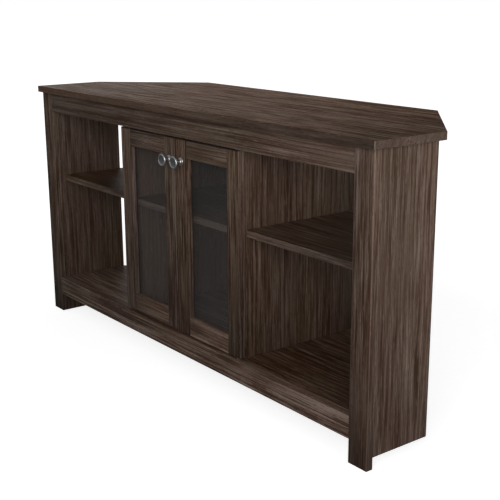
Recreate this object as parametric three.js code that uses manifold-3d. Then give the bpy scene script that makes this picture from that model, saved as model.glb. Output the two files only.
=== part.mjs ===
// Corner cabinet for a television, with a glazed centre cupboard and two open side bays.
// Millimetres, +Z up. X runs along the front, the front faces -Y.
// The origin is the middle of the floor rectangle that the whole object covers.
import * as THREE from 'three';
import * as BufferGeometryUtils from 'three/addons/utils/BufferGeometryUtils.js';
import Module from 'manifold-3d';

const wasm = await Module();
wasm.setup();

// ---- driving dimensions ----------------------------------------------------
const BOARD = 15;            // thickness of every laminated board
const BODY_W = 1200;         // across the outer side boards
const HEIGHT = 592;          // floor to the top face
const TOP_FRONT = -9.5;      // front edge of the top, ahead of the legs' front face (y = 0)
const TOP_HALF = 607;        // half the top's width
const TOP_SIDE_Y = 165;      // where the top's short side meets its 45 degree corner cut
const TOP_BACK_Y = 375;      // rear edge of the top
const TOP_BACK_HALF = TOP_HALF - (TOP_BACK_Y - TOP_SIDE_Y);

const LEG_W = 47.5;          // width of a front leg
const OUTER_SIDE_Y = 151;    // rear edge of the outer side board
const OUTER_SIDE_Z = 25;     // its lower edge is raised off the floor
const INNER_SIDE_Y = 190;    // rear edge of the inner side board
const CARCASS_BACK_Y = 365;  // rear edge of dividers, floor board and plinth
const BACK_PANEL_T = 3;      // hardboard back

const APRON_Z = 530;         // lower edge of the top front rail
const BASE_Z0 = 46.5;        // lower edge of the base front rail
const BASE_Z1 = 93.5;        // its upper edge
const FLOOR_Z = 92;          // top face of the floor board

const DIV_OUT = 218;         // outer face of a divider
const DIV_FRONT = 25;        // front edge of a divider, just behind the closed door

const SHELF_Z = 365;         // top face of the side shelves
const SHELF_FRONT = 28;
const MID_SHELF_Z = 362;     // top face of the centre shelf
const MID_SHELF_FRONT = 25.5;

const DOOR_Y0 = 6;           // door's front face, set back from the legs
const DOOR_Y1 = 21;
const DOOR_HALF = 222;       // outer edge of a closed door
const DOOR_MEET = 1.5;       // half the gap between the two doors
const DOOR_Z0 = 96.5;
const DOOR_Z1 = 527;
const HINGE_STILE = 38.5;    // width of the stile that carries the pivots
const MEET_STILE = 41;       // width of the stile that carries the knob
const DOOR_RAIL = 40;        // height of the door's top and bottom rails
const REBATE_W = 8;          // rebate that the pane sits in
const PANE_Y = 18;           // front face of the pane
const PANE_T = 2.8;

const PIVOT_X = 213;         // vertical pivot line of each door
const PIVOT_Y = 11;
const PIN_R = 2;
const BUSH_BORE = 2.1;
const BUSH_R = 3.5;

const KNOB_X = 22;
const KNOB_Z = 478.5;
const KNOB_OUT = 22;         // how far the knob stands out of the door's face
const KNOB_R = 14;

const Y_MID = (DOOR_Y0 - KNOB_OUT + TOP_BACK_Y) / 2;   // middle of the whole depth, knobs included

// ---- materials ---------------------------------------------------------------
const mat = (color, roughness, metalness = 0) => () =>
  new THREE.MeshStandardMaterial({ color, roughness, metalness });
const woodTop = mat(0x5a4b40, 0.5);
const woodFront = mat(0x4b3d34, 0.5);
const woodSide = mat(0x54463b, 0.52);
const woodInner = mat(0x3c302a, 0.58);
const hardboard = mat(0x3a2f29, 0.8);
const chrome = mat(0xc9ccd0, 0.12, 1);
const steel = mat(0x9a9da1, 0.35, 1);
const blackPlastic = mat(0x1c1b1a, 0.6);
const nylon = mat(0x6b5a4c, 0.55);
const glass = () => new THREE.MeshStandardMaterial({
  color: 0x2a2826, roughness: 0.06, metalness: 0, transparent: true, opacity: 0.55 });

// ---- geometry helpers ----------------------------------------------------------
function box(x0, x1, y0, y1, z0, z1) {
  const g = new THREE.BoxGeometry(x1 - x0, y1 - y0, z1 - z0);
  g.translate((x0 + x1) / 2, (y0 + y1) / 2, (z0 + z1) / 2);
  return g;
}

// flat board with a straight-sided outline, its two faces level
function outlineBoard(points, z0, z1) {
  const s = new THREE.Shape(points.map(([x, y]) => new THREE.Vector2(x, y)));
  const g = new THREE.ExtrudeGeometry(s, { depth: z1 - z0, bevelEnabled: false });
  g.translate(0, 0, z0);
  return g;
}

// round peg from a to b along X, Y or Z
function peg(r, axis, a, b, c1, c2, seg = 16) {
  const g = new THREE.CylinderGeometry(r, r, b - a, seg, 1);
  if (axis === 'x') { g.rotateZ(-Math.PI / 2); g.translate((a + b) / 2, c1, c2); }
  if (axis === 'y') { g.translate(c1, (a + b) / 2, c2); }
  if (axis === 'z') { g.rotateX(Math.PI / 2); g.translate(c1, c2, (a + b) / 2); }
  return g;
}

// turned shape: profile of [radius, distance along the axis]
function turned(profile, seg) {
  return new THREE.LatheGeometry(profile.map(([r, h]) => new THREE.Vector2(r, h)), seg);
}

function solid(geometry) {
  const g = geometry.clone();
  g.deleteAttribute('normal');
  g.deleteAttribute('uv');
  const m = BufferGeometryUtils.mergeVertices(g, 1e-4);
  const idx = Array.from(m.index.array);
  const tri = [];
  for (let i = 0; i < idx.length; i += 3) {
    const [a, b, c] = [idx[i], idx[i + 1], idx[i + 2]];
    if (a !== b && b !== c && a !== c) tri.push(a, b, c);
  }
  return new wasm.Manifold(new wasm.Mesh({
    numProp: 3,
    vertProperties: new Float32Array(m.attributes.position.array),
    triVerts: new Uint32Array(tri),
  }));
}

function toGeometry(man) {
  const mesh = man.getMesh();
  const pos = new Float32Array(mesh.numProp * (mesh.vertProperties.length / mesh.numProp));
  pos.set(mesh.vertProperties);
  const g = new THREE.BufferGeometry();
  g.setAttribute('position', new THREE.BufferAttribute(pos, 3));
  g.setIndex(new THREE.BufferAttribute(new Uint32Array(mesh.triVerts), 1));
  g.computeVertexNormals();
  return g;
}

function cut(base, ...tools) {
  let m = solid(base);
  for (const t of tools) m = m.subtract(solid(t));
  return toGeometry(m);
}

function join(base, ...others) {
  let m = solid(base);
  for (const t of others) m = m.add(solid(t));
  return toGeometry(m);
}

// ---- assembly ------------------------------------------------------------------
const cabinet = new THREE.Group();
cabinet.position.set(0, -Y_MID, 0);

function put(name, geometry, material, parent = cabinet) {
  const mesh = new THREE.Mesh(geometry, material());
  mesh.name = name;
  parent.add(mesh);
  return mesh;
}

const sides = [['left', -1], ['right', 1]];
const span = (s, a, b) => (s < 0 ? [-b, -a] : [a, b]);   // mirror an X range to one side

const bodyHalf = BODY_W / 2;
const legIn = bodyHalf - LEG_W;                 // inner edge of a leg and of the inner side board
const underTop = HEIGHT - BOARD;
const cornerCut = legIn + INNER_SIDE_Y;         // |x| + y along the 45 degree rear cut
const cutBackX = cornerCut - CARCASS_BACK_Y;    // where that cut reaches the straight back

// top board: hexagon with the two rear corners cut at 45 degrees
put('top_panel', outlineBoard([
  [-TOP_HALF, TOP_FRONT], [TOP_HALF, TOP_FRONT], [TOP_HALF, TOP_SIDE_Y],
  [TOP_BACK_HALF, TOP_BACK_Y], [-TOP_BACK_HALF, TOP_BACK_Y], [-TOP_HALF, TOP_SIDE_Y],
], underTop, HEIGHT), woodTop);

// shelf pins: a hole in the board's face and a round pin half in, half under the shelf
const PIN_SHELF_R = 2.5;
const PIN_SHELF_IN = 7;
const PIN_SHELF_OUT = 8;
const sidePinYInner = [58, 168];      // in the inner side board
const sidePinYDivider = [58, 332];    // in the divider, facing the side bay
const midPinY = [84, 306];            // in the divider, facing the centre cupboard
const sidePinZ = SHELF_Z - BOARD - PIN_SHELF_R - 0.15;
const midPinZ = MID_SHELF_Z - BOARD - PIN_SHELF_R - 0.15;

const shelfPin = (s, face, dir, y, z) => {
  // face: the board face that the pin comes out of, dir: +1 or -1 along X, away from the board
  const a = face - dir * (PIN_SHELF_IN - 0.3);
  const b = face + dir * PIN_SHELF_OUT;
  const len = Math.abs(b - a);
  const g = turned([[0, 0], [PIN_SHELF_R - 0.5, 0], [PIN_SHELF_R, 0.5], [PIN_SHELF_R, len - 0.8],
    [PIN_SHELF_R - 0.8, len], [0, len]], 12);
  g.rotateZ(dir > 0 ? -Math.PI / 2 : Math.PI / 2);
  g.translate(a, y, z);
  return g;
};
const shelfHole = (face, dir, y, z) => {
  const a = face - dir * PIN_SHELF_IN, b = face + dir * 3;
  return peg(PIN_SHELF_R + 0.15, 'x', Math.min(a, b), Math.max(a, b), y, z, 12);
};

for (const [side, s] of sides) {
  // front leg, outer side board and inner side board
  put(`${side}_front_stile`, box(...span(s, legIn, bodyHalf), 0, BOARD, 0, underTop), woodFront);
  put(`${side}_outer_side`, box(...span(s, bodyHalf - BOARD, bodyHalf), BOARD, OUTER_SIDE_Y,
    OUTER_SIDE_Z, underTop), woodSide);
  put(`${side}_inner_side`, cut(
    box(...span(s, legIn, legIn + BOARD), BOARD, INNER_SIDE_Y, 0, underTop),
    ...sidePinYInner.map((y) => shelfHole(s * legIn, -s, y, sidePinZ))), woodInner);

  // divider between the centre cupboard and this side's bay
  put(`${side}_divider`, cut(
    box(...span(s, DIV_OUT - BOARD, DIV_OUT), DIV_FRONT, CARCASS_BACK_Y, FLOOR_Z, underTop),
    ...sidePinYDivider.map((y) => shelfHole(s * DIV_OUT, s, y, sidePinZ)),
    ...midPinY.map((y) => shelfHole(s * (DIV_OUT - BOARD), -s, y, midPinZ))), woodInner);

  // side shelf, its rear corner following the cut of the top
  const x0 = DIV_OUT + 0.5, x1 = legIn - 0.5;
  const outline = [[x0, SHELF_FRONT], [x1, SHELF_FRONT], [x1, cornerCut - 1 - x1 - 0.5],
    [cutBackX, CARCASS_BACK_Y - 1.5], [x0, CARCASS_BACK_Y - 1.5]];
  const pts = s > 0 ? outline : outline.map(([x, y]) => [-x, y]).reverse();
  put(`${side}_shelf`, outlineBoard(pts, SHELF_Z - BOARD, SHELF_Z), woodInner);

  sidePinYInner.forEach((y, i) => put(`${side}_shelf_pin_outer_${i ? 'rear' : 'front'}`,
    shelfPin(s, s * legIn, -s, y, sidePinZ), steel));
  sidePinYDivider.forEach((y, i) => put(`${side}_shelf_pin_inner_${i ? 'rear' : 'front'}`,
    shelfPin(s, s * DIV_OUT, s, y, sidePinZ), steel));
  midPinY.forEach((y, i) => put(`centre_shelf_pin_${side}_${i ? 'rear' : 'front'}`,
    shelfPin(s, s * (DIV_OUT - BOARD), -s, y, midPinZ), steel));
}

put('centre_shelf', box(-(DIV_OUT - BOARD) + 0.5, DIV_OUT - BOARD - 0.5, MID_SHELF_FRONT,
  CARCASS_BACK_Y - 1.5, MID_SHELF_Z - BOARD, MID_SHELF_Z), woodInner);

// floor board, on the base rail in front and the plinth behind
put('bottom_panel', outlineBoard([
  [-legIn, BOARD], [legIn, BOARD], [legIn, INNER_SIDE_Y], [cutBackX, CARCASS_BACK_Y],
  [-cutBackX, CARCASS_BACK_Y], [-legIn, INNER_SIDE_Y],
], FLOOR_Z - BOARD, FLOOR_Z), woodInner);
put('rear_plinth', box(-DIV_OUT, DIV_OUT, CARCASS_BACK_Y - BOARD, CARCASS_BACK_Y, 0,
  FLOOR_Z - BOARD), woodInner);
put('centre_back_panel', box(-DIV_OUT, DIV_OUT, CARCASS_BACK_Y, CARCASS_BACK_Y + BACK_PANEL_T,
  FLOOR_Z - BOARD, underTop), hardboard);

// front rails, each with two blind holes for the door pivot pins
const pinHole = (x, z0, z1) => peg(PIN_R + 0.1, 'z', z0, z1, x, PIVOT_Y, 20);
const PIN_IN = 12;       // pin length inside the rail
const PIN_REACH = 9;     // pin length inside the door
put('top_front_rail', cut(box(-legIn, legIn, 0, BOARD, APRON_Z, underTop),
  pinHole(-PIVOT_X, APRON_Z - 2, APRON_Z + PIN_IN + 0.3),
  pinHole(PIVOT_X, APRON_Z - 2, APRON_Z + PIN_IN + 0.3)), woodFront);
put('base_front_rail', cut(box(-legIn, legIn, 0, BOARD, BASE_Z0, BASE_Z1),
  pinHole(-PIVOT_X, BASE_Z1 - PIN_IN - 0.3, BASE_Z1 + 2),
  pinHole(PIVOT_X, BASE_Z1 - PIN_IN - 0.3, BASE_Z1 + 2)), woodFront);

// pivot pin, standing on the axis from z0 to z1 with chamfered ends
const pivotPin = (x, z0, z1) => {
  const len = z1 - z0;
  const g = turned([[0, 0], [PIN_R - 0.6, 0], [PIN_R, 0.6], [PIN_R, len - 0.6],
    [PIN_R - 0.6, len], [0, len]], 20);
  g.rotateX(Math.PI / 2);
  g.translate(x, PIVOT_Y, z0);
  return g;
};

// nylon bushing with a flange that the door turns on; up: the sleeve points up
const FLANGE_R = 4.8;
const BUSH_LEN = 10;
const bushing = (x, zFace, up) => {
  const gap = up ? DOOR_Z0 - BASE_Z1 : APRON_Z - DOOR_Z1;
  const t = gap - 0.4;                    // flange fills the gap apart from running clearance
  const g = turned([[BUSH_BORE, -t], [FLANGE_R, -t], [FLANGE_R, -0.02], [BUSH_R, -0.02],
    [BUSH_R, BUSH_LEN], [BUSH_BORE, BUSH_LEN], [BUSH_BORE, -t]], 24);
  g.rotateX(up ? Math.PI / 2 : -Math.PI / 2);
  g.translate(x, PIVOT_Y, zFace);
  return g;
};
const bushHole = (x, z0, z1) => peg(BUSH_R + 0.09, 'z', z0, z1, x, PIVOT_Y, 24);

for (const [side, s] of sides) {
  const x = s * PIVOT_X;
  put(`${side}_upper_pivot_pin`, pivotPin(x, APRON_Z - (APRON_Z - DOOR_Z1) - PIN_REACH,
    APRON_Z + PIN_IN), steel);
  put(`${side}_lower_pivot_pin`, pivotPin(x, BASE_Z1 - PIN_IN,
    DOOR_Z0 + PIN_REACH), steel);

  // ---- door: two stiles, two rails, pane, retainer, knob, strike plate, bushings
  const door = new THREE.Group();
  cabinet.add(door);
  const inX0 = DOOR_MEET + MEET_STILE, inX1 = DOOR_HALF - HINGE_STILE;   // sight opening
  const inZ0 = DOOR_Z0 + DOOR_RAIL, inZ1 = DOOR_Z1 - DOOR_RAIL;
  const rebate = () => box(...span(s, inX0 - REBATE_W, inX1 + REBATE_W), PANE_Y - 0.1, DOOR_Y1 + 2,
    inZ0 - REBATE_W, inZ1 + REBATE_W);
  const screwHole = peg(2.2, 'y', DOOR_Y0 - 2, DOOR_Y1 + 2, s * KNOB_X, KNOB_Z, 16);
  const strikeX = s * 14, strikeZ = 104;
  const nailHole = peg(1.2, 'y', DOOR_Y1 - 9, DOOR_Y1 + 2, strikeX, strikeZ, 12);

  put(`${side}_door_hinge_stile`, cut(
    box(...span(s, inX1, DOOR_HALF), DOOR_Y0, DOOR_Y1, DOOR_Z0, DOOR_Z1), rebate(),
    bushHole(x, DOOR_Z1 - BUSH_LEN - 0.3, DOOR_Z1 + 2),
    bushHole(x, DOOR_Z0 - 2, DOOR_Z0 + BUSH_LEN + 0.3)), woodFront, door);
  put(`${side}_door_meeting_stile`, cut(
    box(...span(s, DOOR_MEET, inX0), DOOR_Y0, DOOR_Y1, DOOR_Z0, DOOR_Z1), rebate(), screwHole,
    nailHole), woodFront, door);
  put(`${side}_door_top_rail`, cut(
    box(...span(s, inX0, inX1), DOOR_Y0, DOOR_Y1, inZ1, DOOR_Z1), rebate()), woodFront, door);
  put(`${side}_door_bottom_rail`, cut(
    box(...span(s, inX0, inX1), DOOR_Y0, DOOR_Y1, DOOR_Z0, inZ0), rebate()), woodFront, door);
  put(`${side}_door_glass`, box(...span(s, inX0 - REBATE_W + 0.4, inX1 + REBATE_W - 0.4), PANE_Y,
    PANE_Y + PANE_T, inZ0 - REBATE_W + 0.4, inZ1 + REBATE_W - 0.4), glass, door);

  // thin frame on the back of the door that keeps the pane in its rebate
  const out = 13, lap = 4;
  put(`${side}_door_glass_retainer`, cut(
    box(...span(s, inX0 - out, inX1 + out), DOOR_Y1, DOOR_Y1 + 1.8, inZ0 - out, inZ1 + out),
    box(...span(s, inX0 - lap, inX1 + lap), DOOR_Y1 - 2, DOOR_Y1 + 4, inZ0 - lap, inZ1 + lap)),
  blackPlastic, door);

  // knob: foot, neck and a shallow dished mushroom head, with a blind hole for its screw
  const r = KNOB_R, h = KNOB_OUT;
  const knob = turned([
    [0, 12], [2.15, 12], [2.15, 0], [8.6, 0], [9, 0.5], [9, 1.6], [8.2, 2.6], [6.2, 3.6], [4.9, 5.2],
    [4.4, 7.2], [4.5, 9.6], [5.4, 11.8], [7.6, 13.4], [10.6, 14.6], [12.8, 15.8], [13.7, 17],
    [r, 18.4], [r - 0.2, 19.8], [r - 0.8, 21], [r - 1.8, 21.8], [r - 2.8, h], [r - 4, h - 0.1],
    [8, 21.5], [5, 21.1], [0, 20.9]], 32);
  knob.rotateX(Math.PI);
  knob.translate(s * KNOB_X, DOOR_Y0, KNOB_Z);
  put(`${side}_door_knob`, knob, chrome, door);

  const screw = turned([[0, 0], [1.75, 0], [2, 0.6], [2, 25.6], [4, 25.6], [4, 26.4], [3.2, 27.6],
    [1.6, 28.1], [0, 28.1]], 16);
  screw.translate(s * KNOB_X, DOOR_Y1 - 25.5, KNOB_Z);
  put(`${side}_door_knob_screw`, screw, steel, door);

  put(`${side}_door_strike_plate`, join(
    box(strikeX - 8, strikeX + 8, DOOR_Y1, DOOR_Y1 + 1, strikeZ - 6, strikeZ + 6),
    peg(1, 'y', DOOR_Y1 - 8, DOOR_Y1 + 0.5, strikeX, strikeZ, 12)), steel, door);

  put(`${side}_door_upper_bushing`, bushing(x, DOOR_Z1, false), nylon, door);
  put(`${side}_door_lower_bushing`, bushing(x, DOOR_Z0, true), nylon, door);
}

// double magnetic catch on the cupboard floor, one magnet for each door
const CATCH_Y = DOOR_Y1 + 2;
put('catch_housing', cut(
  box(-30, 30, CATCH_Y, CATCH_Y + 16, FLOOR_Z, FLOOR_Z + 18),
  box(-22, -6, CATCH_Y - 2, CATCH_Y + 12, FLOOR_Z + 6, FLOOR_Z + 18 - 2),
  box(6, 22, CATCH_Y - 2, CATCH_Y + 12, FLOOR_Z + 6, FLOOR_Z + 18 - 2)), blackPlastic);
for (const [side, s] of sides) {
  put(`${side}_catch_magnet`, box(...span(s, 6.3, 21.7), CATCH_Y - 0.7, CATCH_Y + 11.7,
    FLOOR_Z + 6.3, FLOOR_Z + 18 - 2.3), steel);
}

export default cabinet;
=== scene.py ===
import math

import bpy
from mathutils import Matrix, Vector


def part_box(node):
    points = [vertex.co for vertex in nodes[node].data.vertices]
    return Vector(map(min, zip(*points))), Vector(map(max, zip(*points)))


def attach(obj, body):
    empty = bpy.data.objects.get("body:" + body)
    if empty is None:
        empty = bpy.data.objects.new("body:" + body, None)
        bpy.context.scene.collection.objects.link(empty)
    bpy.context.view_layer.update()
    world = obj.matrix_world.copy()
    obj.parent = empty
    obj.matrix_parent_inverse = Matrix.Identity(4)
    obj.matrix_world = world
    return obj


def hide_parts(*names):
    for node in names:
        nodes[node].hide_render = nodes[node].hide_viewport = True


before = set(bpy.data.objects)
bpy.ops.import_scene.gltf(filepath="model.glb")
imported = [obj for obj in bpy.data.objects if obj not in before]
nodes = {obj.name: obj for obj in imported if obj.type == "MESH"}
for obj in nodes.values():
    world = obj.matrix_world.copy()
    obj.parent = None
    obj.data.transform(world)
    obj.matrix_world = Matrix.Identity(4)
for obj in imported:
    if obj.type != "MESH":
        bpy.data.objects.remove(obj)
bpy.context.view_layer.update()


# ---------------------------------------------------------------------------
# camera: position, aim and roll of the photograph's view
# ---------------------------------------------------------------------------
AZ, EL, ROLL = (math.radians(v) for v in (52.39647, 14.98975, -0.29191))
back = Vector((math.sin(AZ) * math.cos(EL), -math.cos(AZ) * math.cos(EL), math.sin(EL)))
right = Vector((math.cos(AZ), math.sin(AZ), 0.0))
down = (-back).cross(right)
right_r = math.cos(ROLL) * right - math.sin(ROLL) * down
down_r = math.sin(ROLL) * right + math.cos(ROLL) * down
eye = Vector((1.720632, -1.300088, 0.829826))
cam_data = bpy.data.cameras.new("camera")
cam_data.lens = 70.3747
cam_data.sensor_width = 36.0
cam_data.sensor_fit = "HORIZONTAL"
cam_data.clip_start = 0.02
cam_data.clip_end = 40.0
camera = bpy.data.objects.new("camera", cam_data)
bpy.context.scene.collection.objects.link(camera)
camera.matrix_world = Matrix((
    (right_r.x, -down_r.x, back.x, eye.x),
    (right_r.y, -down_r.y, back.y, eye.y),
    (right_r.z, -down_r.z, back.z, eye.z),
    (0, 0, 0, 1)))
bpy.context.scene.camera = camera


# ---------------------------------------------------------------------------
# node helpers
# ---------------------------------------------------------------------------
def srgb(r, g, b):
    """Display colour 0 to 255 as a linear colour."""
    out = []
    for v in (r, g, b):
        v /= 255.0
        out.append(v / 12.92 if v <= 0.04045 else ((v + 0.055) / 1.055) ** 2.4)
    return (*out, 1.0)


class Graph:
    def __init__(self, name):
        self.mat = bpy.data.materials.new(name)
        self.mat.use_nodes = True
        self.tree = self.mat.node_tree
        self.tree.nodes.clear()
        self.out = self.tree.nodes.new("ShaderNodeOutputMaterial")
        self.bsdf = self.tree.nodes.new("ShaderNodeBsdfPrincipled")
        self.link(self.bsdf.outputs["BSDF"], self.out.inputs["Surface"])

    def link(self, a, b):
        self.tree.links.new(a, b)

    def put(self, socket, value):
        if isinstance(value, bpy.types.NodeSocket):
            self.link(value, socket)
        else:
            socket.default_value = value

    def node(self, kind, **props):
        n = self.tree.nodes.new(kind)
        for k, v in props.items():
            setattr(n, k, v)
        return n

    def math(self, op, a, b=0.0, c=None, clamp=False):
        n = self.node("ShaderNodeMath", operation=op, use_clamp=clamp)
        self.put(n.inputs[0], a)
        self.put(n.inputs[1], b)
        if c is not None:
            self.put(n.inputs[2], c)
        return n.outputs[0]

    def noise(self, vector, scale, detail=2.0, rough=0.5, distort=0.0, lac=2.0):
        n = self.node("ShaderNodeTexNoise", noise_dimensions="3D")
        self.put(n.inputs["Vector"], vector)
        self.put(n.inputs["Scale"], scale)
        self.put(n.inputs["Detail"], detail)
        self.put(n.inputs["Roughness"], rough)
        self.put(n.inputs["Lacunarity"], lac)
        self.put(n.inputs["Distortion"], distort)
        return n.outputs["Fac"]

    def ramp(self, fac, stops, interp="LINEAR"):
        n = self.node("ShaderNodeValToRGB")
        n.color_ramp.interpolation = interp
        els = n.color_ramp.elements
        while len(els) > 1:
            els.remove(els[-1])
        first = True
        for pos, col in stops:
            c = col if isinstance(col, tuple) else (col, col, col, 1.0)
            if first:
                els[0].position, els[0].color = pos, c
                first = False
            else:
                e = els.new(pos)
                e.color = c
        self.put(n.inputs["Fac"], fac)
        return n.outputs["Color"]

    def mix(self, fac, a, b, blend="MIX"):
        n = self.node("ShaderNodeMix", data_type="RGBA", blend_type=blend)
        self.put(n.inputs["Factor"], fac)
        self.put(n.inputs[6], a)
        self.put(n.inputs[7], b)
        return n.outputs[2]

    def remap(self, v, a0, a1, b0, b1, smooth=False):
        n = self.node("ShaderNodeMapRange", clamp=True,
                      interpolation_type="SMOOTHSTEP" if smooth else "LINEAR")
        for i, x in enumerate((v, a0, a1, b0, b1)):
            self.put(n.inputs[i], x)
        return n.outputs[0]

    def lerp(self, fac, a, b):
        """a where fac is 0, b where it is 1."""
        return self.math("MULTIPLY_ADD", fac, self.math("SUBTRACT", b, a), a)

    def curve(self, p, lo, hi, values):
        """Straight pieces through values spaced evenly from lo to hi."""
        if not isinstance(values, tuple):
            return values
        step = (hi - lo) / (len(values) - 1)
        out = values[0]
        for k in range(len(values) - 1):
            if values[k + 1] != values[k]:
                out = self.math("ADD", out, self.remap(p, lo + k * step, lo + (k + 1) * step,
                                                       0.0, values[k + 1] - values[k]))
        return out

    def combine(self, x, y, z):
        n = self.node("ShaderNodeCombineXYZ")
        for i, v in enumerate((x, y, z)):
            self.put(n.inputs[i], v)
        return n.outputs[0]

    def coords(self):
        tc = self.node("ShaderNodeTexCoord")
        p = self.node("ShaderNodeSeparateXYZ")
        self.link(tc.outputs["Object"], p.inputs[0])
        n = self.node("ShaderNodeSeparateXYZ")
        self.link(tc.outputs["Normal"], n.inputs[0])
        return tc.outputs["Object"], p.outputs, n.outputs


# ---------------------------------------------------------------------------
# laminated board: printed walnut grain, short pores, dark joint line and wear along the arrises, with painted
# light and shade along and across it, a painted shadow under the upper arris and painted highlights on arrises
# and on a corner
# ---------------------------------------------------------------------------
DARK = srgb(58, 41, 31)
BROWN = srgb(77, 58, 48)
MID = srgb(95, 78, 67)
LIGHT = srgb(126, 111, 102)


def board(name, grain, seed, box, painted_shading_along=1.0, contrast=1.0, run=1.0, bars=0.3, edge_painted_shading=1.0,
          edge_figure=0.7, end_painted_shading=1.0, joint=0.6, painted_arris_highlight=0.0, head=0.0, painted_shading_across=1.0, sat=1.0,
          edge_sat=1.0, tight=1.0, rough=0.5, spec=0.22, cuts=()):
    """grain: axis the figure runs along. painted_shading_along: painted light and shade on the board,
    its brightness from the low end of its grain to the high end. run: how fast streaks change
    along the grain. bars: strength of the unbroken straight streaks. edge_painted_shading: painted
    light and shade on the narrow edge bands against the faces, or their own painted brightness along
    the grain. edge_figure: their contrast. end_painted_shading: further painted light and shade where
    the grain ends, or its own painted brightness at the low and the high end. joint: strength of the
    dark line along the arrises, painted_arris_highlight: of a light line painted on them as a
    highlight. head: strength of the painted shadow under the board's upper arris.
    painted_shading_across: painted light and shade across the grain. sat: saturation, or its values
    along the grain, partly painted light: lowered where sheen greys the surface, raised for the
    warmth of bounced light in shaded places.
    edge_sat: the same for the narrow edge bands. tight: how much closer together the streaks are.
    cuts: slanted edges of the outline, as (nx, ny, d) with d - nx|x| - ny y the distance inside."""
    g = Graph("board_" + name)
    _, P, N = g.coords()
    ax = {"X": 0, "Y": 1, "Z": 2}[grain]
    lo, hi = box
    dims = [hi[i] - lo[i] for i in range(3)]
    others = [i for i in (0, 1, 2) if i != ax]
    wide = max(others, key=lambda i: dims[i])
    thin = min(others, key=lambda i: dims[i])
    off = [((seed * 7.31 + 3.7 * k) % 11.0) - 5.0 for k in range(4)]

    # the narrow edges carry a band whose figure runs along the edge
    edge = g.math("LESS_THAN", g.math("ABSOLUTE", N[thin]), 0.5)
    i, j = [(1, 2), (2, 0), (0, 1)][thin]
    tangent = g.math("SUBTRACT", g.math("MULTIPLY", P[i], N[j]), g.math("MULTIPLY", P[j], N[i]))
    along = g.lerp(edge, g.math("ADD", P[ax], off[0]), g.math("ADD", tangent, off[0] + 0.37))
    across = g.lerp(edge, g.math("ADD", P[wide], off[1] * 0.5), g.math("ADD", P[thin], off[2] * 0.5))
    if cuts:    # where the grain ends, short figure crosses the band
        end = g.math("GREATER_THAN", g.math("ABSOLUTE", N[ax]), 0.7)
        crossing = g.math("MULTIPLY_ADD", P[thin], 4.0, off[0])
        slant = g.math("MULTIPLY_ADD", P[thin], 0.3, g.math("MULTIPLY", tangent, 0.45))
        along, across = g.lerp(end, along, crossing), g.lerp(end, across, slant)

    # slow wander of the figure
    wander = g.noise(g.combine(g.math("MULTIPLY", along, 2.4), g.math("MULTIPLY", across, 11.0), off[3]),
                     1.0, 2.0, 0.5)
    wander = g.math("SUBTRACT", wander, 0.5)
    a3 = g.math("MULTIPLY_ADD", wander, 0.004 if dims[wide] < 0.06 else 0.016, across)

    def stretched(sx, sa, detail=2.0, rough_=0.5, shift=0.0, distort=0.0):
        v = g.combine(g.math("MULTIPLY", along, sx), g.math("MULTIPLY", a3, sa), shift + off[3])
        return g.math("SUBTRACT", g.noise(v, 1.0, detail, rough_, distort), 0.5)

    clouds = stretched(2.0, 7.0, 2.0, shift=1.3)
    bands = stretched(2.6 * run, 48.0 * tight, 2.0, shift=4.1)              # broad tone bands
    bar = stretched(0.9, 120.0 * tight, 1.0, 0.5, shift=5.9)                # straight streaks, end to end
    streak = stretched(6.5 * run, 205.0 * tight, 2.0, 0.55, shift=7.7)      # streaks 4 to 7 mm wide
    fine = stretched(13.0 * run, 430.0 * tight, 2.0, 0.6, shift=11.9)       # hairlines
    pore = stretched(55.0, 800.0, 1.0, 0.5, shift=15.1)             # short pores
    fleck = stretched(34.0, 260.0, 1.0, 0.5, shift=19.7)

    # growth rings cut at a shallow angle: arches in the middle, straight lines beside them
    centre = (lo[wide] + hi[wide]) / 2
    u = g.math("SUBTRACT", a3, centre + off[1] * 0.5)
    w = g.math("MULTIPLY_ADD", g.math("SINE", g.math("MULTIPLY_ADD", along, 3.1, off[2])), 0.03, 0.045)
    rr = g.math("SQRT", g.math("ADD", g.math("MULTIPLY", u, u), g.math("MULTIPLY", w, w)))
    ring = g.math("SINE", g.math("MULTIPLY_ADD", wander, 6.0, g.math("MULTIPLY", rr, 520.0)))

    v = g.math("MULTIPLY", streak, 0.85)
    v = g.math("MULTIPLY_ADD", bar, bars, v)
    v = g.math("MULTIPLY_ADD", fine, 0.85, v)
    v = g.math("MULTIPLY_ADD", bands, 0.28, v)
    v = g.math("MULTIPLY_ADD", clouds, 0.25, v)
    v = g.math("MULTIPLY_ADD", pore, 0.48, v)
    v = g.math("MULTIPLY_ADD", ring, 0.035, v)
    # the figure is quieter on the narrow edge bands
    v = g.math("MULTIPLY", v, g.curve(P[ax], lo[ax], hi[ax], contrast))
    # livelier and calmer patches
    v = g.math("MULTIPLY", v, g.math("MULTIPLY_ADD", stretched(4.5, 26.0, 2.0, shift=23.3), 2.6, 1.0))
    quiet = g.lerp(edge, 1.0, edge_figure)
    if cuts:
        quiet = g.math("MULTIPLY", quiet, g.lerp(end, 1.0, 0.55))
    v = g.math("MULTIPLY_ADD", v, quiet, 0.5)
    col = g.ramp(v, [(0.22, DARK), (0.40, BROWN), (0.52, MID), (0.80, LIGHT)])
    # slow change of hue: redder and more olive places
    hue = g.noise(g.combine(g.math("MULTIPLY", along, 5.0), g.math("MULTIPLY", across, 16.0), off[1]), 1.0, 2.0)
    col = g.mix(1.0, col, g.mix(g.remap(hue, 0.35, 0.65, 0.0, 1.0), (0.98, 1.01, 0.96, 1.0),
                                (1.03, 0.98, 0.99, 1.0)), "MULTIPLY")
    dark_pore = g.remap(pore, 0.09, 0.18, 0.0, 0.6)
    col = g.mix(dark_pore, col, srgb(46, 33, 28))
    pale_fleck = g.remap(fleck, 0.14, 0.22, 0.0, 0.22)
    col = g.mix(pale_fleck, col, srgb(142, 123, 108))

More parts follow.
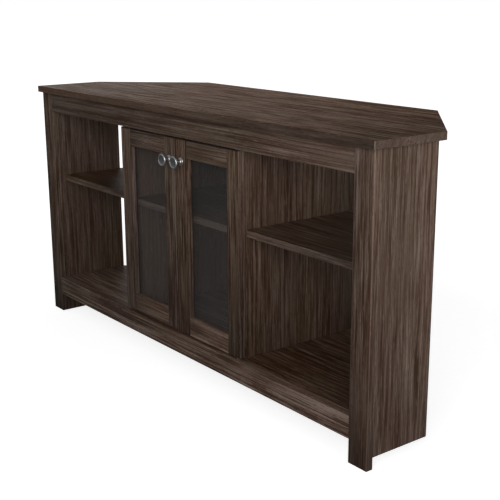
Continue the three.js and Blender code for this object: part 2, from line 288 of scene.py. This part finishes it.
    # distance to the board's nearest arris
    arris_distance = None
    faces = [k for k in range(3) if dims[k] > 0.02]
    for k in faces:
        d = g.math("MINIMUM", g.math("SUBTRACT", P[k], lo[k]), g.math("SUBTRACT", hi[k], P[k]))
        arris_distance = d if arris_distance is None else g.math("MINIMUM", arris_distance, d)
    for nx, ny, dd in cuts:
        d = g.math("MULTIPLY_ADD", g.math("ABSOLUTE", P[0]), -nx, g.math("MULTIPLY_ADD", P[1], -ny, dd))
        arris_distance = g.math("MINIMUM", arris_distance, d)
    # on a narrow edge only the distance across its band counts
    band = g.math("MINIMUM", g.math("SUBTRACT", P[thin], lo[thin]), g.math("SUBTRACT", hi[thin], P[thin]))
    arris_distance = g.lerp(edge, arris_distance, band)
    breakup = g.noise(g.combine(P[0], P[1], P[2]), 75.0, 3.0, 0.6)
    # the joint line between face and edge band, then pale rubs on it
    line = g.remap(arris_distance, 0.0005, 0.0017, joint, 0.0)
    line = g.math("MULTIPLY", line, g.math("SUBTRACT", 1.0, edge))
    col = g.mix(line, col, srgb(40, 29, 24))
    if cuts:    # the upright corner between the front edge and the end carries a painted highlight
        painted_corner_highlight = g.remap(g.math("SUBTRACT", P[wide], lo[wide]), 0.0010, 0.0040, 0.42, 0.0)
        col = g.mix(g.math("MULTIPLY", painted_corner_highlight, end), col, srgb(152, 136, 125))
    # painted highlight: a light line along the arrises
    if painted_arris_highlight:
        col = g.mix(g.remap(arris_distance, 0.0008, 0.0020, painted_arris_highlight, 0.0), col, srgb(150, 131, 118))
    # painted shadow: a dark band under the board's upper arris, where the gap above the door lies in shade
    if head:
        painted_gap_shadow = g.remap(g.math("SUBTRACT", hi[2], P[2]), 0.0014, 0.0034, head, 0.0)
        col = g.mix(g.math("MULTIPLY", painted_gap_shadow, g.math("SUBTRACT", 1.0, edge)), col, srgb(24, 17, 14))
    rub = g.math("MULTIPLY", g.remap(arris_distance, 0.0003, 0.0011, 1.0, 0.0), g.remap(breakup, 0.52, 0.66, 0.0, 0.5))
    col = g.mix(rub, col, srgb(140, 122, 108))
    # painted light and shade: brightness set along the grain, on the edge bands, at the ends and across the
    # grain, multiplied into the colour
    shade = g.curve(P[ax], lo[ax], hi[ax], painted_shading_along)
    if isinstance(edge_painted_shading, tuple):
        shade = g.lerp(edge, shade, g.curve(P[ax], lo[ax], hi[ax], edge_painted_shading))
    else:
        shade = g.math("MULTIPLY", shade, g.lerp(edge, 1.0, edge_painted_shading))
    if end_painted_shading != 1.0:
        end = g.math("GREATER_THAN", g.math("ABSOLUTE", N[ax]), 0.7)
        if isinstance(end_painted_shading, tuple):
            shade = g.lerp(end, shade, g.curve(P[ax], lo[ax], hi[ax], end_painted_shading))
        else:
            shade = g.math("MULTIPLY", shade, g.lerp(end, 1.0, end_painted_shading))
    shade = g.math("MULTIPLY", shade, g.curve(P[wide], lo[wide], hi[wide], painted_shading_across))
    col = g.mix(1.0, col, g.combine(shade, shade, shade), "MULTIPLY")
    # saturation, partly painted light: lowered where sheen greys the surface, raised for the warmth of bounced
    # light in shaded places
    if sat != 1.0 or edge_sat != 1.0:
        hs = g.node("ShaderNodeHueSaturation")
        face_sat = g.curve(P[ax], lo[ax], hi[ax], sat)
        g.put(hs.inputs["Saturation"],
              g.lerp(edge, face_sat, g.curve(P[ax], lo[ax], hi[ax], edge_sat)))
        g.link(col, hs.inputs["Color"])
        col = hs.outputs[0]
    g.link(col, g.bsdf.inputs["Base Color"])

    smudge = g.noise(g.combine(P[0], P[1], P[2]), 7.0, 3.0, 0.6)
    r = g.math("MULTIPLY_ADD", fine, 0.25, rough)
    r = g.math("MULTIPLY_ADD", g.math("SUBTRACT", smudge, 0.5), 0.22, r)
    r = g.math("MULTIPLY_ADD", dark_pore, 0.12, r)
    g.link(r, g.bsdf.inputs["Roughness"])
    g.bsdf.inputs["Specular IOR Level"].default_value = spec
    bump = g.node("ShaderNodeBump")
    bump.inputs["Strength"].default_value = 0.30
    bump.inputs["Distance"].default_value = 0.0005
    h = g.math("MULTIPLY_ADD", fine, 1.0, g.math("MULTIPLY", dark_pore, -0.7))
    h = g.math("MULTIPLY_ADD", streak, 0.5, h)
    g.link(h, bump.inputs["Height"])
    g.link(bump.outputs["Normal"], g.bsdf.inputs["Normal"])
    return g.mat


def finish_node(name, mat, bevel=0.0, segments=2):
    o = nodes[name]
    o.data.materials.clear()
    o.data.materials.append(mat)
    if bevel:
        join = o.modifiers.new("join", "WELD")
        join.merge_threshold = 0.00001
        m = o.modifiers.new("arris", "BEVEL")
        m.width = bevel
        m.segments = segments
        m.limit_method = "ANGLE"
        m.angle_limit = math.radians(30)
        m.harden_normals = True
    return o


R2 = math.sqrt(0.5)
# door stiles: painted shadow under the upper arris, painted shade on the end faces, painted light on the edge
# bands
STILE = dict(bars=0.15, edge_painted_shading=1.45, end_painted_shading=0.3, joint=0.2, head=0.95, tight=1.3)
RAIL = dict(bars=0.2, run=0.6, joint=0.2)
FRONT = dict(run=0.5, joint=0.25)
# grain, painted light and shade along it, contrast of the figure, anything else about the board, much of it
# more painted light and shade
BOARDS = {
    "top_panel": ("X", (3.12, 1.07), (1.3, 1.6, 3.2), dict(rough=0.6, spec=0.08, joint=0.25,
                                                           tight=0.85, painted_shading_across=(0.92, 1.03, 1.45),
                                                           sat=(0.93, 1.37),
                                                           edge_painted_shading=(1.36, 1.09, 0.74),
                                                           end_painted_shading=(1.6, 1.3), edge_figure=0.16,
                                                           edge_sat=(1.12, 0.87),
                                                           cuts=[(R2, R2, 0.5925 * R2)])),
    "top_front_rail": ("X", (0.88, 1.08, 1.22), 0.9, FRONT),
    "base_front_rail": ("X", (1.04, 1.28, 1.32), 1.7, dict(FRONT, edge_painted_shading=0.85, edge_sat=1.2)),
    "bottom_panel": ("X", (1.00, 1.12, 0.42), 1.75, dict(painted_shading_across=(1.22, 1.0, 0.8),
                                                         sat=(1.08, 1.2, 1.40))),
    "rear_plinth": ("X", 0.95, 1.0, {}),
    "centre_shelf": ("X", 1.05, 0.5, dict(edge_painted_shading=2.1, edge_sat=0.75)),
    "left_shelf": ("X", (1.12, 0.49, 0.38), 1.0, dict(edge_painted_shading=(1.40, 0.58), sat=1.42)),
    "right_shelf": ("X", (1.15, 0.42), 1.25, dict(edge_painted_shading=(1.60, 0.60), sat=1.15,
                                                   edge_sat=0.86)),
    "left_front_stile": ("Z", (0.31, 1.04, 1.08), 1.8, dict(joint=0.2, edge_painted_shading=1.08,
                                                            painted_shading_across=(0.75, 1.05), sat=1.13)),
    "right_front_stile": ("Z", (0.44, 1.30), 1.0, dict(joint=0.0, painted_arris_highlight=0.3, sat=(1.2, 0.97),
                                                       edge_painted_shading=1.10, painted_shading_across=(0.80, 1.22))),
    "left_outer_side": ("Z", 1.05, 0.9, dict(joint=0.3)),
    "right_outer_side": ("Z", (0.97, 1.44), 0.9, dict(joint=0.15, painted_shading_across=(0.97, 0.96, 1.18))),
    "left_inner_side": ("Z", (0.70, 1.45), 0.72, dict(sat=(1.16, 0.87))),
    "right_inner_side": ("Z", 0.95, 0.9, {}),
    "left_divider": ("Z", (1.90, 2.60), 0.3, dict(edge_painted_shading=0.7)),
    "right_divider": ("Z", (0.68, 1.60), 0.98, dict(edge_painted_shading=1.28, joint=0.3,
                                                    painted_shading_across=(1.12, 1.08, 0.24), sat=(1.20, 1.0))),
    "left_door_hinge_stile": ("Z", (0.60, 1.24), 1.5, dict(STILE, sat=1.04, edge_painted_shading=1.4,
                                                          edge_sat=0.85)),
    "left_door_meeting_stile": ("Z", (0.72, 1.03), 1.8, dict(STILE, sat=1.06)),
    "right_door_hinge_stile": ("Z", (0.39, 1.10), 1.5, dict(STILE, sat=1.22, edge_painted_shading=1.5)),
    "right_door_meeting_stile": ("Z", (0.53, 1.04), 1.95, dict(STILE, sat=1.25, edge_painted_shading=1.55)),
    "left_door_top_rail": ("X", (0.71, 1.24), 1.6, dict(RAIL, edge_painted_shading=0.4, head=0.95)),
    "right_door_top_rail": ("X", (0.86, 1.12), 1.0, dict(RAIL, edge_painted_shading=0.4, head=0.95, sat=1.08)),
    "left_door_bottom_rail": ("X", (0.73, 1.27), 1.15, dict(RAIL, edge_painted_shading=1.4, painted_shading_across=(0.86, 1.2),
                                                           sat=1.08)),
    "right_door_bottom_rail": ("X", (1.28, 1.68), 1.1, dict(RAIL, edge_painted_shading=1.15, sat=0.97)),
}
for i, (name, (grain, painted_shading_along, contrast, more)) in enumerate(BOARDS.items()):
    finish_node(name, board(name, grain, 1 + i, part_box(name), painted_shading_along, contrast, **more),
                bevel=0.0006)


# ---------------------------------------------------------------------------
# the rest
# ---------------------------------------------------------------------------
def hardboard():
    g = Graph("hardboard")
    vec, P, N = g.coords()
    a = g.noise(g.combine(g.math("MULTIPLY", P[0], 60.0), P[1], g.math("MULTIPLY", P[2], 3.0)), 1.0, 3.0, 0.6)
    b = g.noise(vec, 420.0, 3.0, 0.7)
    col = g.ramp(a, [(0.35, srgb(58, 47, 40)), (0.65, srgb(65, 53, 46))])
    col = g.mix(g.remap(b, 0.4, 0.7, 0.0, 0.35), col, srgb(88, 74, 62))
    g.link(col, g.bsdf.inputs["Base Color"])
    g.link(g.math("MULTIPLY_ADD", b, 0.2, 0.68), g.bsdf.inputs["Roughness"])
    bump = g.node("ShaderNodeBump")
    bump.inputs["Strength"].default_value = 0.25
    bump.inputs["Distance"].default_value = 0.0005
    g.link(b, bump.inputs["Height"])
    g.link(bump.outputs["Normal"], g.bsdf.inputs["Normal"])
    return g.mat


def metal(name, dark, light, rough, spread, scale):
    g = Graph(name)
    vec, P, N = g.coords()
    a = g.noise(vec, scale, 4.0, 0.6)
    b = g.noise(vec, scale * 9.0, 2.0, 0.6)
    g.link(g.ramp(a, [(0.3, dark), (0.7, light)]), g.bsdf.inputs["Base Color"])
    g.bsdf.inputs["Metallic"].default_value = 1.0
    g.link(g.math("MULTIPLY_ADD", b, spread, rough), g.bsdf.inputs["Roughness"])
    bump = g.node("ShaderNodeBump")
    bump.inputs["Strength"].default_value = 0.06
    bump.inputs["Distance"].default_value = 0.0002
    g.link(b, bump.inputs["Height"])
    g.link(bump.outputs["Normal"], g.bsdf.inputs["Normal"])
    return g.mat


def plastic(name, dark, light, rough, scale):
    g = Graph(name)
    vec, P, N = g.coords()
    a = g.noise(vec, scale, 3.0, 0.6)
    b = g.noise(vec, scale * 12.0, 2.0, 0.7)
    g.link(g.ramp(a, [(0.3, dark), (0.7, light)]), g.bsdf.inputs["Base Color"])
    g.link(g.math("MULTIPLY_ADD", b, 0.16, rough), g.bsdf.inputs["Roughness"])
    bump = g.node("ShaderNodeBump")
    bump.inputs["Strength"].default_value = 0.2
    bump.inputs["Distance"].default_value = 0.0003
    g.link(b, bump.inputs["Height"])
    g.link(bump.outputs["Normal"], g.bsdf.inputs["Normal"])
    return g.mat


def smoked_glass():
    g = Graph("smoked_glass")
    vec, P, N = g.coords()
    a = g.noise(vec, 3.0, 3.0, 0.6)
    b = g.noise(vec, 160.0, 2.0, 0.5)
    g.link(g.ramp(a, [(0.3, srgb(84, 82, 81)), (0.7, srgb(97, 94, 94))]), g.bsdf.inputs["Base Color"])
    g.link(g.math("MULTIPLY_ADD", b, 0.03, 0.02), g.bsdf.inputs["Roughness"])
    g.bsdf.inputs["IOR"].default_value = 1.5
    g.bsdf.inputs["Alpha"].default_value = 0.25
    return g.mat


def knob_chrome(face_y):
    """Polished chrome, with a darker teal-grey colour in the shallow dish of the knob's head: a painted
    reflection of the dark surroundings.
    """
    g = Graph("knob_chrome")
    vec, P, N = g.coords()
    dx = g.math("SUBTRACT", g.math("ABSOLUTE", P[0]), 0.022)
    dz = g.math("SUBTRACT", P[2], 0.4785)
    r = g.math("SQRT", g.math("ADD", g.math("MULTIPLY", dx, dx), g.math("MULTIPLY", dz, dz)))
    dish = g.math("MULTIPLY", g.math("LESS_THAN", P[1], face_y - 0.0195),
                  g.remap(r, 0.0093, 0.0104, 1.0, 0.0, smooth=True))
    a = g.noise(vec, 90.0, 4.0, 0.6)
    b = g.noise(vec, 800.0, 2.0, 0.6)
    bright = g.ramp(a, [(0.3, srgb(188, 187, 186)), (0.7, srgb(212, 211, 210))])
    # painted reflection: the dish's darker colour stands in for the dark surroundings that it mirrors
    painted_dish_reflection = g.ramp(a, [(0.3, srgb(146, 154, 154)), (0.7, srgb(168, 175, 175))])
    g.link(g.mix(dish, bright, painted_dish_reflection), g.bsdf.inputs["Base Color"])
    g.bsdf.inputs["Metallic"].default_value = 1.0
    g.link(g.math("MULTIPLY_ADD", b, 0.08, 0.28), g.bsdf.inputs["Roughness"])
    lathe = g.math("SINE", g.math("MULTIPLY", r, 9000.0))
    bump = g.node("ShaderNodeBump")
    bump.inputs["Strength"].default_value = 0.06
    bump.inputs["Distance"].default_value = 0.0002
    g.link(g.math("MULTIPLY_ADD", lathe, 0.4, b), bump.inputs["Height"])
    g.link(bump.outputs["Normal"], g.bsdf.inputs["Normal"])
    return g.mat


hb = hardboard()
finish_node("centre_back_panel", hb)
chrome = metal("chrome", srgb(196, 198, 202), srgb(222, 224, 228), 0.06, 0.06, 90.0)
steel = metal("steel", srgb(150, 150, 154), srgb(188, 188, 190), 0.28, 0.18, 240.0)
nylon = plastic("nylon", srgb(88, 72, 60), srgb(108, 90, 76), 0.42, 160.0)
black = plastic("black_plastic", srgb(24, 23, 22), srgb(40, 39, 38), 0.42, 120.0)
pane = smoked_glass()
for name in nodes:
    if "_shelf_pin_" in name or name.endswith("_pivot_pin") or name.endswith("_screw") \
            or name.endswith("_strike_plate") or name.endswith("_magnet"):
        finish_node(name, steel)
    elif name.endswith("_bushing"):
        finish_node(name, nylon)
    elif name == "catch_housing" or name.endswith("_retainer"):
        finish_node(name, black, bevel=0.0003)
    elif name.endswith("_glass"):
        finish_node(name, pane, bevel=0.0003)
    elif name.endswith("_knob"):
        finish_node(name, chrome)


def turned(name, profile, axis_x, face_y, axis_z, segments=96):
    """Turned piece standing out of a face towards -Y: profile of (radius, distance out of the
    face) in mm, from the bottom of the screw hole round to the middle of the head."""
    verts, faces, rings = [], [], []
    for r, h in profile:
        y = face_y - h / 1000.0
        if r == 0:
            rings.append([len(verts)])
            verts.append((axis_x, y, axis_z))
            continue
        rings.append(list(range(len(verts), len(verts) + segments)))
        for k in range(segments):
            a = 2.0 * math.pi * k / segments
            verts.append((axis_x + r / 1000.0 * math.cos(a), y, axis_z + r / 1000.0 * math.sin(a)))
    for p, q in zip(rings, rings[1:]):
        for k in range(segments):
            m = (k + 1) % segments
            ring = ([p[0]] if len(p) == 1 else [p[k], p[m]]) + ([q[0]] if len(q) == 1 else [q[m], q[k]])
            faces.append(ring)
    me = bpy.data.meshes.new(name)
    me.from_pydata(verts, [], faces)
    me.update()
    me.shade_smooth()
    me.set_sharp_from_angle(angle=math.radians(50))
    o = bpy.data.objects.new(name, me)
    bpy.context.scene.collection.objects.link(o)
    return o


def rounded(points, step=4):
    """Profile with extra points between the given ones, on a smooth curve through them."""
    out = []
    for i in range(len(points) - 1):
        p0 = points[max(i - 1, 0)]
        p1, p2 = points[i], points[i + 1]
        p3 = points[min(i + 2, len(points) - 1)]
        for k in range(step):
            t = k / step
            out.append(tuple(0.5 * (2 * b + (c - a) * t + (2 * a - 5 * b + 4 * c - d) * t * t
                                    + (3 * b - a - 3 * c + d) * t ** 3)
                             for a, b, c, d in zip(p0, p1, p2, p3)))
    out.append(points[-1])
    return out


# knob: foot, waist and a mushroom head with a rolled rim round a shallow dish
BORE = [(0, 11.9), (1.7, 12), (2.15, 11.7), (2.15, 0.3), (2.45, 0), (8.5, 0)]
OUTSIDE = rounded([(8.5, 0.02), (9.0, 0.6), (9.0, 1.5), (8.2, 2.6), (6.3, 3.6), (4.95, 5.2), (4.4, 7.2),
                   (4.5, 9.6), (5.4, 11.8), (7.6, 13.4), (10.6, 14.6), (12.8, 15.8), (13.7, 17.0),
                   (13.98, 18.4), (13.8, 19.8), (13.2, 21.0), (12.2, 21.8), (11.2, 21.98), (10.2, 21.75),
                   (9.5, 21.2), (8.0, 20.9), (5.0, 20.6), (2.0, 20.45)])
KNOB = BORE + OUTSIDE[1:] + [(0, 20.42)]
knob_metal = knob_chrome(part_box("left_door_knob")[1][1])
for side in ("left", "right"):
    old = side + "_door_knob"
    lo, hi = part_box(old)
    knob = turned(side + "_knob", KNOB, (lo[0] + hi[0]) / 2, hi[1], (lo[2] + hi[2]) / 2)
    knob.data.materials.append(knob_metal)
    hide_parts(old)
    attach(knob, side + "_door")


# ---------------------------------------------------------------------------
# floor, light
# ---------------------------------------------------------------------------
def floor():
    """Pale studio floor. What it throws back on the cabinet is less than what the camera sees."""
    me = bpy.data.meshes.new("studio_floor")
    r = 14.0
    me.from_pydata([(-r, -r, 0), (r, -r, 0), (r, r, 0), (-r, r, 0)], [], [(0, 1, 2, 3)])
    o = bpy.data.objects.new("studio_floor", me)
    bpy.context.scene.collection.objects.link(o)
    mat = bpy.data.materials.new("studio_floor")
    mat.use_nodes = True
    t = mat.node_tree
    t.nodes.clear()
    out = t.nodes.new("ShaderNodeOutputMaterial")
    mix = t.nodes.new("ShaderNodeMixShader")
    path = t.nodes.new("ShaderNodeLightPath")
    # as the camera sees it: pale and evenly lit, with only a faint shadow close to the object
    near = t.nodes.new("ShaderNodeTexCoord")
    radius = t.nodes.new("ShaderNodeVectorMath")
    radius.operation = "LENGTH"
    t.links.new(near.outputs["Object"], radius.inputs[0])
    ramp = t.nodes.new("ShaderNodeMapRange")
    t.links.new(radius.outputs["Value"], ramp.inputs[0])
    for i, x in enumerate((0.7, 1.6, FLOOR_GLOW, 1.0)):
        ramp.inputs[i + 1].default_value = x
    glow = t.nodes.new("ShaderNodeEmission")
    t.links.new(ramp.outputs[0], glow.inputs["Strength"])
    lit = t.nodes.new("ShaderNodeBsdfDiffuse")
    lit.inputs["Color"].default_value = (FLOOR_SEEN, FLOOR_SEEN, FLOOR_SEEN, 1)
    seen = t.nodes.new("ShaderNodeAddShader")
    t.links.new(glow.outputs[0], seen.inputs[0])
    t.links.new(lit.outputs[0], seen.inputs[1])
    thrown = t.nodes.new("ShaderNodeBsdfDiffuse")
    thrown.inputs["Color"].default_value = (FLOOR_THROWN, FLOOR_THROWN, FLOOR_THROWN, 1)
    t.links.new(path.outputs["Is Camera Ray"], mix.inputs[0])
    t.links.new(thrown.outputs[0], mix.inputs[1])
    t.links.new(seen.outputs[0], mix.inputs[2])
    t.links.new(mix.outputs[0], out.inputs["Surface"])
    me.materials.append(mat)
    return o


FLOOR_GLOW, FLOOR_SEEN, FLOOR_THROWN = 0.82, 0.6, 0.3
floor()

# plain white surroundings; as a light they are dimmer than they look, a little stronger from
# the left and from the front
world = bpy.data.worlds.new("studio")
bpy.context.scene.world = world
world.use_nodes = True
wt = world.node_tree
wt.nodes.clear()
w_out = wt.nodes.new("ShaderNodeOutputWorld")
w_mix = wt.nodes.new("ShaderNodeMixShader")
w_path = wt.nodes.new("ShaderNodeLightPath")
w_light = wt.nodes.new("ShaderNodeBackground")
w_light.inputs["Color"].default_value = (1, 1, 1, 1)
w_seen = wt.nodes.new("ShaderNodeBackground")
w_seen.inputs["Color"].default_value = (1, 1, 1, 1)
w_seen.inputs["Strength"].default_value = 1.0
w_dir = wt.nodes.new("ShaderNodeTexCoord")
level = 0.15
for toward, amount in (((-1.0, 0.0, 0.25), 0.141), ((0.0, -1.0, 0.25), 0.225)):
    dot = wt.nodes.new("ShaderNodeVectorMath")
    dot.operation = "DOT_PRODUCT"
    dot.inputs[1].default_value = Vector(toward).normalized()
    wt.links.new(w_dir.outputs["Generated"], dot.inputs[0])
    half = wt.nodes.new("ShaderNodeMath")
    half.operation = "MAXIMUM"
    half.inputs[1].default_value = 0.0
    wt.links.new(dot.outputs["Value"], half.inputs[0])
    lobe = wt.nodes.new("ShaderNodeMath")
    lobe.operation = "POWER"
    lobe.inputs[1].default_value = 2.0
    wt.links.new(half.outputs[0], lobe.inputs[0])
    add = wt.nodes.new("ShaderNodeMath")
    add.operation = "MULTIPLY_ADD"
    wt.links.new(lobe.outputs[0], add.inputs[0])
    add.inputs[1].default_value = amount
    if isinstance(level, float):
        add.inputs[2].default_value = level
    else:
        wt.links.new(level, add.inputs[2])
    level = add.outputs[0]
wt.links.new(level, w_light.inputs["Strength"])
wt.links.new(w_path.outputs["Is Camera Ray"], w_mix.inputs[0])
wt.links.new(w_light.outputs[0], w_mix.inputs[1])
wt.links.new(w_seen.outputs[0], w_mix.inputs[2])
wt.links.new(w_mix.outputs[0], w_out.inputs["Surface"])


def lamp(name, at, aim, size, power, size_y=None):
    d = bpy.data.lights.new(name, "AREA")
    d.shape = "RECTANGLE"
    d.size = size
    d.size_y = size_y or size
    d.energy = power
    o = bpy.data.objects.new(name, d)
    bpy.context.scene.collection.objects.link(o)
    o.location = at
    o.rotation_euler = (Vector(aim) - Vector(at)).to_track_quat("-Z", "Y").to_euler()
    return o


lamp("right_soft", (2.7, -0.2, 0.7), (0.5, 0.0, 0.40), 1.2, 13.2)
lamp("corner_low", (1.9, -2.0, 0.7), (0.4, 0.0, 0.35), 1.2, 11.1)
lamp("corner_high", (1.9, -2.0, 1.7), (0.4, 0.0, 0.35), 1.2, 15.4)
lamp("front_soft", (0.6, -2.2, 1.2), (0.1, 0.0, 0.30), 1.2, 1.2)
lamp("back_left", (-2.6, 0.9, 1.0), (0.0, 0.0, 0.592), 1.2, 2.7)

bpy.context.scene.view_settings.view_transform = "Standard"
bpy.context.scene.view_settings.look = "None"
